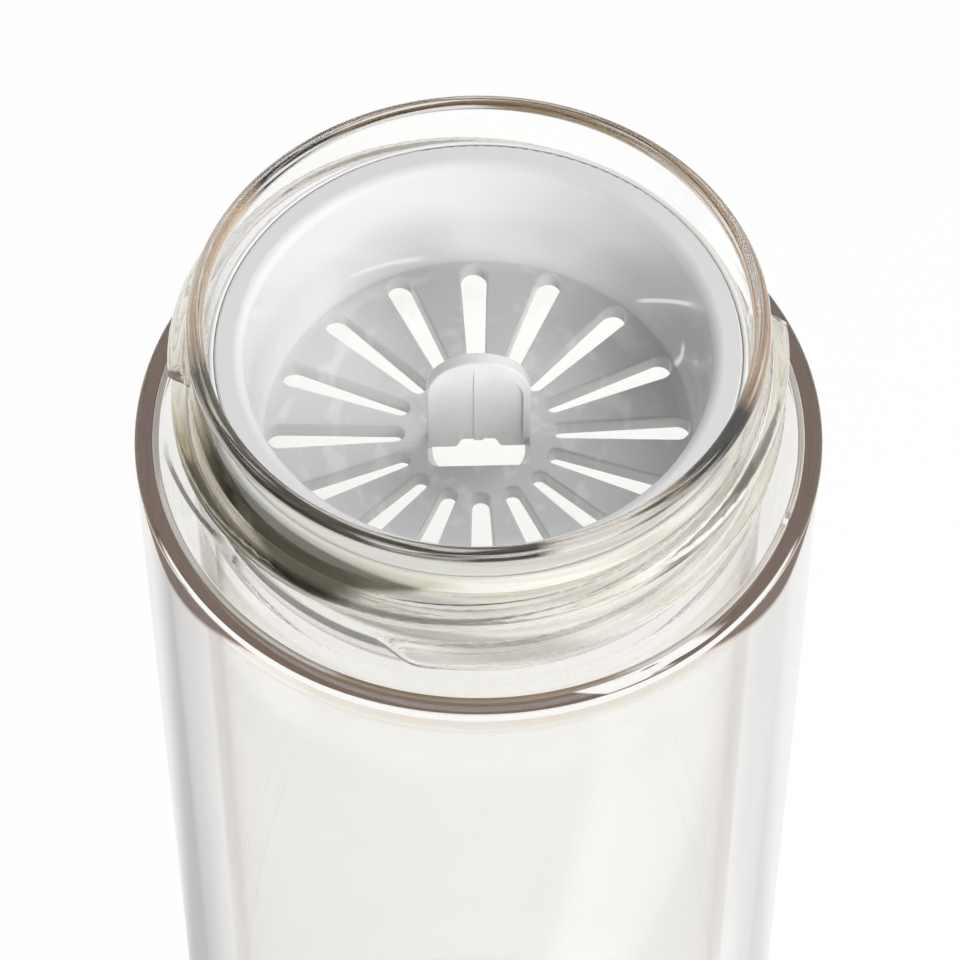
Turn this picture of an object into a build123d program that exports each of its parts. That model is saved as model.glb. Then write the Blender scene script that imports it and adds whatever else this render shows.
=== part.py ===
from build123d import *
import os
from math import hypot

os.makedirs("parts", exist_ok=True)

# A clear double-walled bottle with a wide threaded neck and a lift-out strainer.
# Z runs up the bottle's axis, and the foot stands on Z = 0. The pull tab faces -Y.

# Whole bottle
body_diameter = 74.0
shoulder_height = 185.0
shoulder_width = 3.8
neck_height = 19.6

# Outer shell
rim_wall = 1.9
seat_step = 0.5
seat_depth = 4.0
rim_round = 0.7
shell_floor = 2.4
shell_corner = 3.0
foot_width = 6.0
foot_recess = 1.6
foot_round = 3.5
recess_round = 1.0

# Inner bottle
neck_wall = 1.9
lip_round = 0.85
neck_fillet = 0.8
liner_wall = 1.6
air_gap = 3.6
floor_gap = 3.0
liner_corner = 8.0
collar_gap = 0.1
ledge_width = 1.8
throat_length = 15.0
throat_flare = 6.0
throat_round = 3.0

# Seam ring
seam_width = 0.7
seam_depth = 1.2
seam_gap = 0.05
seam_split = 1.6
seam_split_turn = -20.0

# Strainer seal
seal_wall = 0.5
seal_clearance = 0.3
seal_lip_width = 1.5
seal_lip_thickness = 1.0
seal_round = 0.35
seal_fit = 0.05

# Strainer bowl
strainer_turn = 1.5
strainer_drop = 5.48
flange_width = 3.05
flange_thickness = 1.6
flange_roll = 1.2
flange_round = 0.3
bowl_depth = 14.9
bowl_wall = 1.4
bowl_draft = 0.9
bowl_corner = 2.0
floor_thickness = 1.9

# Strainer slots
slot_count = 16
slot_inner_radius = 8.05
slot_edge_margin = 0.97
slot_inner_width = 1.8
slot_outer_width = 2.9
slot_round = 0.3

# Pull tab
tab_width = 11.0
tab_height = 13.8
tab_thickness = 1.56
tab_back = 0.36
tab_panel_thickness = 0.86
tab_corner = 5.4
tab_frame_side = 0.75
tab_frame_top = 1.6
tab_panel_corner = 4.6
tab_edge_round = 0.25
tab_foot_gap = 0.15
tab_rib_width = 1.0
tab_rib_height = 0.2

# Finger hole in front of the tab
hole_length = 3.96
hole_corner = 1.2
hole_bottom_corner = 3.4
hole_side_draft = 0.5
notch_width = 4.75
notch_top_width = 3.6
notch_height = 1.35
notch_depth = 1.5
notch_round = 0.5

# Cutting tools run this far past the faces that they cut
overrun = 1.0
# Edges are told apart by places that agree this closely
match_gap = 0.01

# Radii and heights worked out from the sizes above
body_radius = body_diameter / 2
seat_radius = body_radius - rim_wall
shell_radius = seat_radius - seat_step
shell_floor_top = foot_recess + shell_floor

collar_radius = seat_radius - collar_gap
collar_bottom = shoulder_height - seat_depth

seam_outer_radius = seat_radius - seam_gap
seam_inner_radius = seam_outer_radius - seam_width
seam_bottom = shoulder_height - seam_depth
groove_radius = seam_inner_radius - seam_gap

lip_top = shoulder_height + neck_height
neck_radius = groove_radius - shoulder_width
mouth_radius = neck_radius - neck_wall
throat_radius = mouth_radius - ledge_width
liner_radius = shell_radius - air_gap
liner_inner_radius = liner_radius - liner_wall
liner_bottom = shell_floor_top + floor_gap
liner_floor_top = liner_bottom + liner_wall

flange_top = lip_top - strainer_drop
flange_bottom = flange_top - flange_thickness
seal_bottom = flange_bottom - seal_lip_thickness
ledge_height = seal_bottom - seal_clearance
throat_bottom = ledge_height - throat_length
liner_top = throat_bottom - throat_flare

seal_outer_radius = mouth_radius - seal_clearance
seal_inner_radius = seal_outer_radius - seal_wall
flange_radius = seal_inner_radius - seal_fit
bowl_radius = flange_radius - flange_width
floor_radius = bowl_radius - bowl_draft
floor_top = flange_top - bowl_depth
floor_bottom = floor_top - floor_thickness


def turned(corners, rounds):
    """Turn an outline of (radius, height) corners about Z, with some corners rounded."""
    with BuildPart() as solid:
        with BuildSketch(Plane.XZ) as outline:
            with BuildLine():
                Polyline(*corners, close=True)
            make_face()
            for corner, radius in rounds:
                fillet(outline.vertices().sort_by_distance(corner)[0], radius)
        revolve(axis=Axis.Z)
    return solid.part


def make_outer_shell():
    """Open cup: a foot ring round a recessed floor, and a seat cut into the top of its wall."""
    foot_inner_radius = body_radius - foot_width
    foot_edge = (body_radius, 0)
    recess_edge = (foot_inner_radius, foot_recess)
    rim_edge = (body_radius, shoulder_height)
    floor_edge = (shell_radius, shell_floor_top)
    corners = [
        (0, foot_recess),
        recess_edge,
        (foot_inner_radius, 0),
        foot_edge,
        rim_edge,
        (seat_radius, shoulder_height),
        (seat_radius, collar_bottom),
        (shell_radius, collar_bottom),
        floor_edge,
        (0, shell_floor_top),
    ]
    rounds = [
        (foot_edge, foot_round),
        (recess_edge, recess_round),
        (rim_edge, rim_round),
        (floor_edge, shell_corner),
    ]
    return turned(corners, rounds)


def make_inner_bottle():
    """Bottle with a stepped neck, a flat shoulder, a collar that sits in the shell, and a liner."""
    neck_foot = (neck_radius, shoulder_height)
    lip_outer = (neck_radius, lip_top)
    lip_inner = (mouth_radius, lip_top)
    throat_edge = (throat_radius, throat_bottom)
    liner_edge = (liner_inner_radius, liner_top)
    base_inner = (liner_inner_radius, liner_floor_top)
    base_outer = (liner_radius, liner_bottom)
    corners = [
        (0, liner_bottom),
        base_outer,
        (liner_radius, collar_bottom),
        (collar_radius, collar_bottom),
        (collar_radius, seam_bottom),
        (groove_radius, seam_bottom),
        (groove_radius, shoulder_height),
        neck_foot,
        lip_outer,
        lip_inner,
        (mouth_radius, ledge_height),
        (throat_radius, ledge_height),
        throat_edge,
        liner_edge,
        base_inner,
        (0, liner_floor_top),
    ]
    rounds = [
        (neck_foot, neck_fillet),
        (lip_outer, lip_round),
        (lip_inner, lip_round),
        (throat_edge, throat_round),
        (liner_edge, throat_round),
        (base_inner, liner_corner),
        (base_outer, liner_corner + liner_wall),
    ]
    return turned(corners, rounds)


def make_seam_ring():
    """Thin split ring that fills the groove between the shoulder and the shell."""
    with BuildPart() as ring:
        with BuildSketch(Plane.XY.offset(seam_bottom)):
            Circle(seam_outer_radius)
            Circle(seam_inner_radius, mode=Mode.SUBTRACT)
        extrude(amount=seam_depth)
        with BuildSketch(Plane.XY.offset(seam_bottom)):
            with Locations(Rotation(0, 0, seam_split_turn) * Pos(seat_radius, 0)):
                Rectangle(4 * seam_width, seam_split)
        extrude(amount=seam_depth, mode=Mode.SUBTRACT)
    return ring.part


def make_strainer_seal():
    """Ring of L section: a wall round the flange's edge and a lip under it."""
    lip_inner = (seal_outer_radius - seal_lip_width - seal_wall, seal_bottom)
    outer_low = (seal_outer_radius, seal_bottom)
    corners = [
        lip_inner,
        outer_low,
        (seal_outer_radius, flange_top),
        (seal_inner_radius, flange_top),
        (seal_inner_radius, flange_bottom),
        (lip_inner[0], flange_bottom),
    ]
    return turned(corners, [(outer_low, seal_round), (lip_inner, seal_round)])


def make_bowl():
    """Flanged bowl of even wall, rolled over from the flange and rounded into its floor."""
    roll = (bowl_radius, flange_top)
    flange_edge = (flange_radius, flange_top)
    inner_corner = (floor_radius, floor_top)
    outer_corner = (floor_radius + bowl_wall, floor_bottom)
    corners = [
        (0, floor_top),
        inner_corner,
        roll,
        flange_edge,
        (flange_radius, flange_bottom),
        (bowl_radius + bowl_wall, flange_bottom),
        outer_corner,
        (0, floor_bottom),
    ]
    rounds = [
        (inner_corner, bowl_corner),
        (roll, flange_roll),
        (flange_edge, flange_round),
        (outer_corner, bowl_corner + bowl_wall),
    ]
    return turned(corners, rounds)


def make_slot():
    """Cutter for one slot along +X, round at both ends and wider towards the wall."""
    inner_end = slot_inner_radius + slot_inner_width / 2
    outer_end = floor_radius - slot_edge_margin - slot_outer_width / 2
    with BuildPart() as cutter:
        with BuildSketch(Plane.XY.offset(floor_bottom - overrun)):
            with Locations((inner_end, 0)):
                Circle(slot_inner_width / 2)
            with Locations((outer_end, 0)):
                Circle(slot_outer_width / 2)
            make_hull()
        extrude(amount=floor_thickness + bowl_corner + overrun)
    return cutter.part


def make_finger_hole():
    """Cutter for the hole in the floor in front of the tab, drawn in at its sides."""
    hole_back = tab_panel_thickness - tab_back
    hole_middle = -hole_back - hole_length / 2
    with BuildPart() as cutter:
        for height, inset, corner in (
            (floor_top, 0, hole_corner),
            (floor_bottom, hole_side_draft, hole_bottom_corner),
        ):
            with BuildSketch(Plane.XY.offset(height)) as outline:
                with Locations((0, hole_middle)):
                    Rectangle(tab_width - 2 * inset, hole_length)
                fillet(outline.vertices().group_by(Axis.Y)[0], corner)
        loft(ruled=True)
    return cutter.part


def make_tab_notch():
    """Cutter for the small tapered notch under the tab, open to the finger hole."""
    hole_back = tab_panel_thickness - tab_back
    with BuildPart() as cutter:
        with BuildSketch(Plane.XZ.offset(hole_back)) as outline:
            with BuildLine():
                Polyline(
                    (-tab_width / 2, floor_bottom - overrun),
                    (tab_width / 2, floor_bottom - overrun),
                    (tab_width / 2, floor_bottom),
                    (notch_width / 2, floor_bottom),
                    (notch_top_width / 2, floor_bottom + notch_height),
                    (-notch_top_width / 2, floor_bottom + notch_height),
                    (-notch_width / 2, floor_bottom),
                    (-tab_width / 2, floor_bottom),
                    close=True,
                )
            make_face()
            notch_corners = outline.vertices().filter_by(lambda v: abs(v.X) < notch_width)
            fillet(notch_corners, notch_round)
        extrude(amount=-notch_depth)
    return cutter.part


def make_tab():
    """Upright arched tab: a framed panel with a faint centre rib, open at its foot."""
    front = tab_thickness - tab_back
    panel_front = tab_panel_thickness - tab_back
    panel_width = tab_width - 2 * tab_frame_side
    panel_top = floor_top + tab_height - tab_frame_top
    rib_foot = floor_bottom + notch_height
    # Both arches keep a short level crown, however narrow the tab is
    arch_round = min(tab_corner, tab_width / 2 - match_gap)
    panel_round = min(tab_panel_corner, panel_width / 2 - match_gap)
    with BuildPart() as tab:
        with BuildSketch(Plane.XZ.offset(front)) as arch:
            with Locations((0, floor_bottom)):
                Rectangle(tab_width, tab_height + floor_thickness, align=(Align.CENTER, Align.MIN))
            fillet(arch.vertices().group_by(Axis.Y)[-1], arch_round)
        extrude(amount=-tab_thickness)
        face_edges = tab.faces().filter_by(Axis.Y).edges()
        fillet(face_edges.filter_by(lambda edge: edge.center().Z > floor_bottom), tab_edge_round)
        with BuildSketch(Plane.XZ.offset(front)) as panel:
            with Locations((0, floor_bottom)):
                Rectangle(panel_width, panel_top - floor_bottom, align=(Align.CENTER, Align.MIN))
            fillet(panel.vertices().group_by(Axis.Y)[-1], panel_round)
        extrude(amount=-(front - panel_front), mode=Mode.SUBTRACT)
        # The frame's feet end just above the floor, and only the panel goes down behind the hole
        with BuildSketch(Plane.XZ.offset(front)):
            with Locations((0, floor_bottom)):
                below_feet = floor_thickness + tab_foot_gap
                Rectangle(tab_width, below_feet, align=(Align.CENTER, Align.MIN))
        extrude(amount=-(front - panel_front), mode=Mode.SUBTRACT)
        with BuildSketch(Plane.XZ.offset(panel_front)):
            with Locations((0, rib_foot)):
                Rectangle(tab_rib_width, panel_top - rib_foot, align=(Align.CENTER, Align.MIN))
        extrude(amount=tab_rib_height)
    return tab.part


def is_slot_edge(edge):
    """True on a slot's upper edge, not on the smooth line where the floor turns up."""
    middle = edge @ 0.5
    reach = hypot(middle.X, middle.Y)
    slot_reach = floor_radius - slot_edge_margin
    in_slot = slot_inner_radius - match_gap < reach < slot_reach + match_gap
    on_floor = floor_top - match_gap < middle.Z < floor_top + bowl_corner / 2
    return in_slot and on_floor and abs(reach - floor_radius + bowl_corner) > match_gap


def make_strainer():
    """Bowl with the tab on its hub, the finger hole before it and a ring of rounded slots."""
    slot_pitch = 360 / slot_count
    # The turned bowl's seam is kept halfway between two slots
    bowl = Rotation(0, 0, slot_pitch / 2) * make_bowl()
    strainer = bowl - make_finger_hole() + make_tab() - make_tab_notch()
    for index in range(slot_count):
        strainer -= Rotation(0, 0, index * slot_pitch) * make_slot()
    strainer = fillet(strainer.edges().filter_by(is_slot_edge), slot_round)
    return Rotation(0, 0, strainer_turn) * strainer


nodes = {
    "outer_shell": make_outer_shell,
    "inner_bottle": make_inner_bottle,
    "seam_ring": make_seam_ring,
    "strainer_seal": make_strainer_seal,
    "strainer": make_strainer,
}

for name, make in nodes.items():
    export_step(make(), f"parts/{name}.step")
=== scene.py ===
from math import atan2, ceil, cos, degrees, pi, radians, sin, tan

import bmesh
import bpy
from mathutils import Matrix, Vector


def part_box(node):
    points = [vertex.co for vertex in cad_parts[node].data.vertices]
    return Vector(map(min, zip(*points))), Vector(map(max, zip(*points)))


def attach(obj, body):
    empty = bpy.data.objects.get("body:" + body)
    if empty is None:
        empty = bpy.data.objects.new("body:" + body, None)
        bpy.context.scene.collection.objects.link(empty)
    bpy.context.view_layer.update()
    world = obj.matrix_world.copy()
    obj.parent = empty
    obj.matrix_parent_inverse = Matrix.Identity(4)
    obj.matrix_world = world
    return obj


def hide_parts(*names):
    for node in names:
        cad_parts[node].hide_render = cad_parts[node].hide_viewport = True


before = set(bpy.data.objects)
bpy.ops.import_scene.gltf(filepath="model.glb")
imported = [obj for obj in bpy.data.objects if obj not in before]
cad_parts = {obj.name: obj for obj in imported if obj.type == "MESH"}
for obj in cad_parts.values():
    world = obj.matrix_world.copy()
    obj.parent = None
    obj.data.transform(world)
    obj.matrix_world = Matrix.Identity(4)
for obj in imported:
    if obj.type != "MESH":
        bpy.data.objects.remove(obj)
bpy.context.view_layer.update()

# Lengths are written in millimetres and turned into the frame's metres once, as a mesh is made
MM = 0.001

# Corners of the CAD pieces, in the frame's metres
shell_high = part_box("outer_shell")[1]
bottle_low, bottle_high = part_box("inner_bottle")
strainer_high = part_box("strainer")[1]
seal_low, seal_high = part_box("strainer_seal")
seam_low, seam_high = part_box("seam_ring")

# Heights and radii that those corners give, in millimetres
body_radius = shell_high.x / MM
shoulder = shell_high.z / MM
lip_top = bottle_high.z / MM
liner_bottom = bottle_low.z / MM
collar_radius = bottle_high.x / MM
flange_top = strainer_high.z / MM
seal_bottom = seal_low.z / MM
seal_radius = seal_high.x / MM
seam_bottom = seam_low.z / MM
seam_radius = seam_high.x / MM

# Outer shell
RIM_WALL = 1.9
SEAT_STEP = 0.5
SEAT_DEPTH = 4.0
RIM_ROUND = 0.7
SHELL_FLOOR = 2.4
SHELL_CORNER = 3.0
FOOT_WIDTH = 6.0
FOOT_RECESS = 1.6
FOOT_ROUND = 3.5
RECESS_ROUND = 1.0

# Inner bottle
NECK_RADIUS = 30.5
NECK_WALL = 1.9
LIP_ROUND = 0.93
NECK_FILLET = 0.8
LEDGE_WIDTH = 1.8
LEDGE_ROUND = 0.3
LINER_GAP = 3.6
LINER_WALL = 1.6
LINER_CORNER = 8.0
SEAL_CLEARANCE = 0.3
THROAT_LENGTH = 15.0
THROAT_FLARE = 6.0
THROAT_ROUND = 3.0

# Thread on the neck: two right-handed ridges, half a turn apart
THREAD_STARTS = 2
THREAD_TOP = 14.0
THREAD_LEAD = 14.2
THREAD_TOP_TURN = 8.5
THREAD_SWEEP = 300.0
THREAD_HEIGHT = 2.1
THREAD_BASE = 2.7
THREAD_CREST = 1.0
THREAD_END = 1.6
THREAD_FOOT_END = 6.0
THREAD_ROW = 0.15

# Seam ring and seal
SEAM_WIDTH = 0.7
SEAM_GAP = 0.05
SEAM_SPLIT = 1.6
SEAM_SPLIT_TURN = -20.0
SEAL_WALL = 0.5
SEAL_LIP_WIDTH = 1.5
SEAL_LIP = 1.0
SEAL_ROUND = 0.35
SEAL_TOP_ROUND = 0.2

# How finely round shapes are cut
TURN_STEPS = 384
ARC_STEP = 12.0
HOLD_DISTANCE = 0.2
CREASE_ANGLE = 50.0

# Colours are linear light
CLEAR_WARM = (0.997, 0.998, 0.990, 1)
CLEAR_COOL = (1.0, 1.0, 1.0, 1)
# Painted shade in the neck: its olive tint, its darkest streaks, and a deeper patch and bands
NECK_SHADE_OLIVE = (0.96, 0.95, 0.90, 1)
DARKEST_SHADE_OLIVE = (0.012, 0.011, 0.005, 1)
DEEPER_SHADE_OLIVE = (0.55, 0.51, 0.37, 1)
# Painted highlight, white, for the rim's edge and its glint
HIGHLIGHT_WHITE = (0.96, 0.95, 0.93, 1)
# Painted refraction under the rim in tan and brown, and the rim's flat face as a painted brown glow for
# light led down inside the wall
BAND_REFRACTED_TAN = (0.72, 0.50, 0.34, 1)
RIM_GLOW_BROWN = (0.19, 0.145, 0.122, 1)
BAND_REFRACTED_BROWN = (0.185, 0.14, 0.115, 1)
TINT_DEEP = (0.408, 0.288, 0.2, 1)
TINT_DENSITY = 12.5
SHELL_END_GLOW = (0.62, 0.57, 0.53, 1)
BOTTLE_END_GLOW = (0.17, 0.165, 0.12, 1)
SEAM_BEIGE = (0.62, 0.50, 0.38, 1)
SEAM_PALE = (0.94, 0.91, 0.87, 1)
STRAINER_WHITE = (0.80, 0.80, 0.80, 1)
STRAINER_WHITE_DIM = (0.77, 0.77, 0.775, 1)
# Painted light at the foot of the bowl's wall, which also lightens the floor's swirls
STRAINER_LIGHT = (0.90, 0.90, 0.90, 1)
# Painted shade on the bowl's floor
STRAINER_FLOOR_SHADE = (0.755, 0.755, 0.76, 1)
SEAL_WHITE = (0.86, 0.86, 0.85, 1)
SEAL_PALE = (0.90, 0.90, 0.89, 1)
PAPER_WHITE = (0.92, 0.92, 0.92, 1)
PAPER_GREY = (0.90, 0.90, 0.90, 1)
PAPER_UNLIT = (0.15, 0.15, 0.15, 1)
PURE_WHITE = (1, 1, 1, 1)
# Painted shade in the line round the neck's root
ROOT_SHADE_GREY = (0.07, 0.07, 0.06, 1)
PLASTIC_IOR = 1.5

# Painted reflections on the lip's rounded edge, dark and tan, by degrees to the right from straight in
# front
LIP_REFLECTION_TONES = (
    (-180, 0.09, 0.058, 0.026), (-152, 0.09, 0.058, 0.026), (-146, 0.003, 0.003, 0.003),
    (-128, 0.003, 0.003, 0.003), (-118, 0.65, 0.42, 0.25), (-88, 0.75, 0.56, 0.40),
    (-76, 0.03, 0.03, 0.02), (-14, 0.01, 0.01, 0.008), (12, 0.01, 0.01, 0.008),
    (17, 0.90, 0.88, 0.82), (34, 0.90, 0.88, 0.82), (40, 0.30, 0.24, 0.15), (46, 0.01, 0.01, 0.01),
    (66, 0.01, 0.01, 0.01), (76, 0.62, 0.40, 0.24), (115, 0.55, 0.35, 0.20),
    (140, 0.20, 0.13, 0.07), (180, 0.09, 0.058, 0.026),
)

# Finish: noises by cells to a metre, the levels over which the roughness goes from its first value
# to its second, and the refraction of each material
FINISH_LEVEL = (0.3, 0.7)
CLEAR_HAZE = 60.0
CLEAR_ROUGHNESS = (0.0, 0.01)
STRAINER_CLOUD = 45.0
STRAINER_RIPPLE = 160.0
STRAINER_ROUGHNESS = (0.10, 0.18)
STRAINER_IOR = 1.49
STRAINER_BUMP = 0.05
STRAINER_BUMP_DISTANCE = 0.0004
SEAL_CLOUD = 80.0
SEAL_ROUGHNESS = (0.35, 0.5)
SEAL_IOR = 1.41
SEAM_ROUGHNESS = (0.1, 0.25)
SEAM_CLEARNESS = 0.6

# The liner is thin, so below the throat it bends little of the light
THIN_TOP = -10.0
THIN_FADE = 12.0
THIN_SHARE = 0.975

# How near a face must be to the seat's step, its upright face or the neck's outside to count as it
FLAT_TILT = 0.5
STEP_REACH = 0.3
FACE_REACH = 0.1
WALL_REACH = 0.2

# Fine noise across round shapes: how many cells to a millimetre of reach and to a degree of turn
FACE_GRAIN = (1.5, 0.06)
SEAM_GRAIN = (3.0, 0.02)

# Turns below are degrees to the right from straight in front, and heights are above the shoulder

# Painted highlight: a white line along the rim's rounded edge, full in front, then narrower, and gone at
# its end
EDGE_FULL = 35.0
EDGE_END = 68.0
EDGE_FADE = 6.0
EDGE_TILT = 0.2
EDGE_TILT_END = 0.72
EDGE_TILT_FADE = 0.15
EDGE_TILT_TOP = (0.96, 0.88)

# Painted refraction of the brown rim: a brown band under it to either side, deepest in its middle, and a
# faint fringe all along
BAND_DEPTH = 5.0
BAND_START = 30.0
BAND_MIDDLE = 60.0
BAND_END = 76.0
BAND_END_SWELL = 0.2
BAND_START_SWELL = 0.12
BAND_END_FADE = 5.0
BAND_EDGE = (-0.2, 1.4)
BAND_TILT = (0.6, 0.2)
BAND_SHARE = 0.93
FRINGE_DEPTH = 3.6
FRINGE_SHARE = 0.3

# Brown flat face of the rim, a painted glow for light led down inside the wall, with a painted glint at the
# right of the front
# that is cut off on a slant: its ends lean by this many degrees to a millimetre, and their turns are those
# at one reach
FACE_SHARE = 0.85
GLINT_SHARE = 0.97
FACE_TILT = (0.97, 0.995)
GLINT_LEAN = 4.0
GLINT_REACH = 35.7
GLINT_START = 18.0 - GLINT_LEAN * GLINT_REACH
GLINT_START_FADE = 1.0
GLINT_END = 46.0 - GLINT_LEAN * GLINT_REACH
GLINT_END_FADE = 6.0
GLINT_LEVEL = (0.40, 0.46)

# Painted shade: olive tint of the neck, which reaches this far round and deepens up to a height
OLIVE_HALF = 100.0
OLIVE_RISE = 1.5
OLIVE_DEEPENS = (1.0, 8.0)
OLIVE_FOOT_SHARE = 0.3

# Painted shade in dark streaks that run along the thread: narrow across it and long round the neck
STREAK_ACROSS = 0.32
STREAK_ALONG = 0.03
STREAK_LEVEL = (0.56, 0.72)
STREAK_FOOT = (0.2, 0.9)
STREAK_TOP = (17.0, 15.5)
STREAK_SHARE = 0.5
STREAK_DARKEST = 0.97
STREAK_MIDDLE = -15.0
STREAK_HALF = 55.0
STREAK_OUTSIDE = -0.2

# Painted shade in a dark patch at the left of the neck's front, whose foot climbs to a tip
PATCH_FOOT = (-70.0, -8.0)
PATCH_TIP_HEIGHT = 13.5
PATCH_FOOT_FADE = (-0.5, 1.0)
PATCH_TOP = (16.5, 14.5)
PATCH_LEFT = (-95.0, -75.0)
PATCH_RIGHT = (0.0, -10.0)
PATCH_WEIGHT = 0.20

# Painted shade in a darker stretch under the patch
STRETCH_HEIGHTS = (4.7, 6.9)
STRETCH_FADE = 0.3
STRETCH_MIDDLE = -28.0
STRETCH_HALF = 24.0
STRETCH_WEIGHT = 0.10

# Painted shade in a dark line under the upper thread at the right
LINE_TURNS = (58.0, 80.0)
LINE_HEIGHTS = (11.4, 9.6)
LINE_WIDTH = (1.2, 0.7)
LINE_MIDDLE = 60.0
LINE_HALF = 27.0
LINE_WEIGHT = 0.42

# Painted shade in soft bands that repeat up the neck's front
WAVE_RATE = 2.1
WAVE_FROM = 0.3
WAVE_SHARE = 0.4
WAVE_FOOT = (0.5, 2.0)
WAVE_MIDDLE = 25.0
WAVE_HALF = 70.0

# Painted shade in a line round the neck's root, which leaves the neck at the left and runs out over the
# shoulder
ROOT_LEAVES = (-64.0, -60.0)
ROOT_LINE_TURNS = (-84.0, -58.0)
ROOT_LINE_OUT = 33.6
ROOT_LINE_WIDTH = (0.35, 0.2)
ROOT_LINE_FOOT = (0.7, 1.0)
ROOT_LINE_TOP = (2.6, 2.2)
ROOT_SHOULDER_TOP = 0.65
ROOT_LINE_START = (-88.0, -80.0)
ROOT_LINE_END = (40.0, 0.0)
ROOT_LINE_SHARE = 1.0

# Painted reflections on the lip's rounded edge, by its tilt, and the ripples in them, in cells to a
# millimetre
LIP_TILT = (0.2, 0.4)
LIP_RINGS = 3.0
LIP_PATCHES = 0.06
LIP_LEVEL = (0.35, 0.5)
LIP_LEAST = 0.3

# Strainer bowl: reach of its inner wall, from floor to flange, and the foot of that wall, where light is
# painted on
BOWL_WALL = (23.1, 24.9)
BOWL_WALL_EDGE = 0.15
WALL_PAINTED_LIGHT = (6.0, 0.5)

# Faint swirls on the bowl's floor, by cells to a millimetre of reach and to a degree
SWIRLS = (0.35, 0.05)
SWIRL_LEVEL = (0.52, 0.68)
SWIRL_SHARE = 0.7

# Highlights on the bowl's wall: the turns they run between, the heights there, half width, end fade
BOWL_HIGHLIGHTS = (
    ((109.0, 135.0), (11.0, 0.3), 0.5, 5.0),
    ((110.9, 113.9), (0.7, 0.7), 3.0, 1.4),
    ((-168.0, -141.0), (0.1, 1.7), 0.4, 6.0),
)
HIGHLIGHT_SHARE = 0.5

# Noise levels between which the seam turns beige, and what is added to the noise behind and in
# front of these values of Y
SEAM_LEVEL = (0.45, 0.65)
SEAM_BEIGE_FROM = (-30.0, -33.0)
SEAM_HELP = (-0.1, 0.3)

# Bounces after which light led inside a wall is cut off
SHELL_LONG_PATH = 24
BOTTLE_LONG_PATH = 12

# Camera, worked out from the bottle's outline in the photograph
CAMERA_PITCH = 54.64
CAMERA_LENS = 165.4
CAMERA_PLACE = (0.16, -278.9, 383.3)

# Floor: its radius, and how much of what the camera and the glass see of it is its own light
FLOOR_RADIUS = 1500.0
FLOOR_SIDES = 96
FLOOR_GLOW = 0.9
FLOOR_GRAIN = 300.0

# Painted shade and light on the floor as the glass shows it: how bright it is, by degrees to the right from
# straight in front
FLOOR_PAINTED_TONES = (
    (-180, 0.98), (-135, 0.92), (-120, 0.52), (-102, 0.54), (-90, 0.80), (-82, 1.0), (84, 1.0),
    (100, 0.76), (114, 0.76), (125, 0.94), (146, 0.96), (150, 1.13), (163, 1.13), (166, 0.98), (180, 0.98),
)

# Reach from which those tones set in, and the fade at either end of any sector
TONES_FROM = 12.0
SECTOR_FADE = 8.0

# Painted light: the floor behind is a little brighter in the glass from this Y on, and white to the camera
FLOOR_FAR = (100.0, 150.0)
FLOOR_FAR_TONE = 1.12
FLOOR_SHOWN = 1.02

# Painted shade: middle and half of the turn in which the paper is painted dark and sends no light back to
# the bottle
UNLIT_SECTOR = (-45.0, 40.0)

# Light of the room at the horizon and overhead, and the steepness that counts as overhead
ROOM_LOW = 0.85
ROOM_HIGH = 0.28
ROOM_OVERHEAD = 0.9

# Direction of the studio's dim side, in front and left of the bottle, and how it falls off to it:
# from and to how straight a ray looks there, and the strengths at either end
DIM_SIDE = (-0.35, -0.6, 0.65)
STUDIO_FALL = (0.15, 0.60, 1.0, 0.02)
ROOM_FALL = (0.2, 0.9, 1.3, 0.35)

# Lamps: where they stand, and their power
LAMP_SIZE = (400, 400)
KEY_BACK = (380, 380, 780)
KEY_BACK_POWER = 1.9
KEY_FRONT = (250, -700, 500)
KEY_FRONT_POWER = 5.4


def arc_points(corner, before, after, radius):
    """Points of the round that replaces a corner between two straight stretches of an outline."""
    to_before = Vector(before) - Vector(corner)
    to_after = Vector(after) - Vector(corner)
    bend = to_before.angle(to_after)
    reach = radius / tan(bend / 2)
    start = Vector(corner) + to_before.normalized() * reach
    end = Vector(corner) + to_after.normalized() * reach
    middle = (to_before.normalized() + to_after.normalized()).normalized()
    centre = Vector(corner) + middle * (radius / sin(bend / 2))
    first = atan2(start.y - centre.y, start.x - centre.x)
    turn = atan2(end.y - centre.y, end.x - centre.x) - first
    turn = (turn + pi) % (2 * pi) - pi
    steps = max(2, ceil(abs(degrees(turn)) / ARC_STEP))
    angles = [first + turn * step / steps for step in range(steps + 1)]
    return [(centre.x + radius * cos(a), centre.y + radius * sin(a)) for a in angles]


def rounded(corners):
    """Turn a closed list of (radius, height, round) corners into outline points."""
    points = []
    for index, (r, z, round_radius) in enumerate(corners):
        before = corners[index - 1][:2]
        after = corners[(index + 1) % len(corners)][:2]
        points += arc_points((r, z), before, after, round_radius) if round_radius else [(r, z)]
    return points


def held(outline):
    """Add a point near each end of a long straight stretch, so that its shading stays straight."""
    points = []
    for index, point in enumerate(outline):
        here = Vector(point)
        there = Vector(outline[(index + 1) % len(outline)])
        length = (there - here).length
        points.append(point)
        if length > 3 * HOLD_DISTANCE and max(here.x, there.x) > 0:
            points.append(tuple(here.lerp(there, HOLD_DISTANCE / length)))
            points.append(tuple(there.lerp(here, HOLD_DISTANCE / length)))
    return [(0 if r < HOLD_DISTANCE / 2 else r, z) for r, z in points]


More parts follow.
